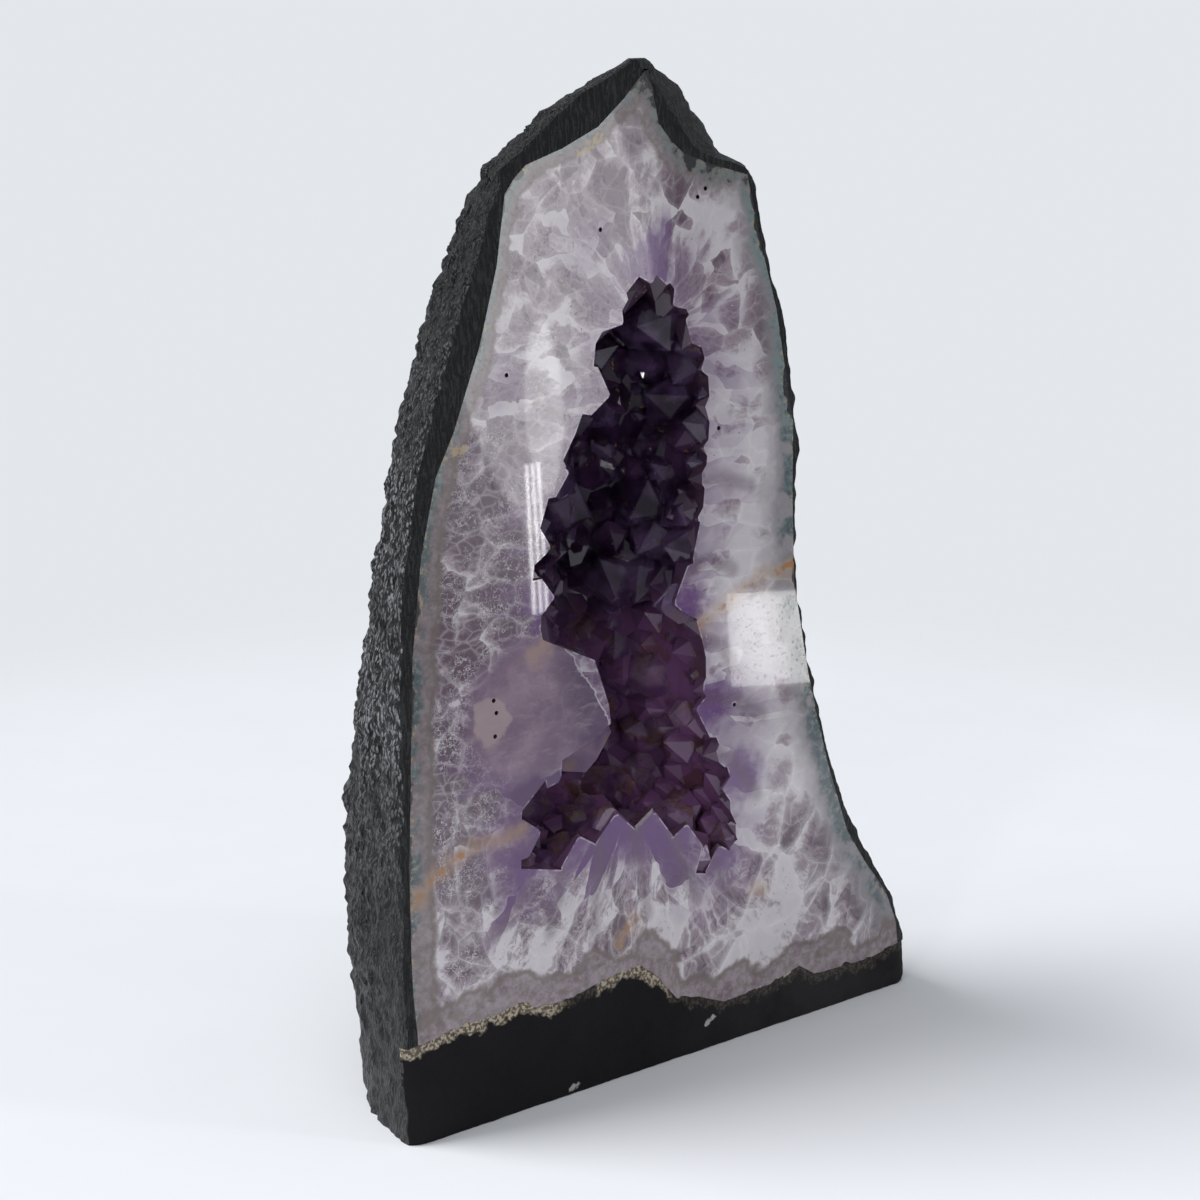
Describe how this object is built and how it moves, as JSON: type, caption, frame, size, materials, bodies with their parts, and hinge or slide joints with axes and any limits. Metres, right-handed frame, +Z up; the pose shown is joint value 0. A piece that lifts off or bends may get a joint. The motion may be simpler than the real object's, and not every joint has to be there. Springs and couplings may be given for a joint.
{
  "type": "amethyst geode",
  "caption": "Tall half of an amethyst geode with a polished front face and an open crystal cavity, standing on a painted cement foot.",
  "frame": {"origin": "middle of the part's box, at floor level", "axes": "+Z up; -Y is the way the polished face looks; +X is to the right of someone who looks at the face"},
  "size_m": [0.263, 0.127, 0.404],
  "materials": {
    "painted_rock": "rough basalt rind painted black, semi-matt",
    "amethyst_quartz": "agate and white quartz polished to a gloss on the sawn face, glossy purple crystal faces in the cavity",
    "painted_cement": "cast cement foot painted matt black"
  },
  "bodies": {
    "root": {"rock_rind": "painted_rock", "crystal_lining": "amethyst_quartz", "cement_foot": "painted_cement"}
  },
  "joints": []
}
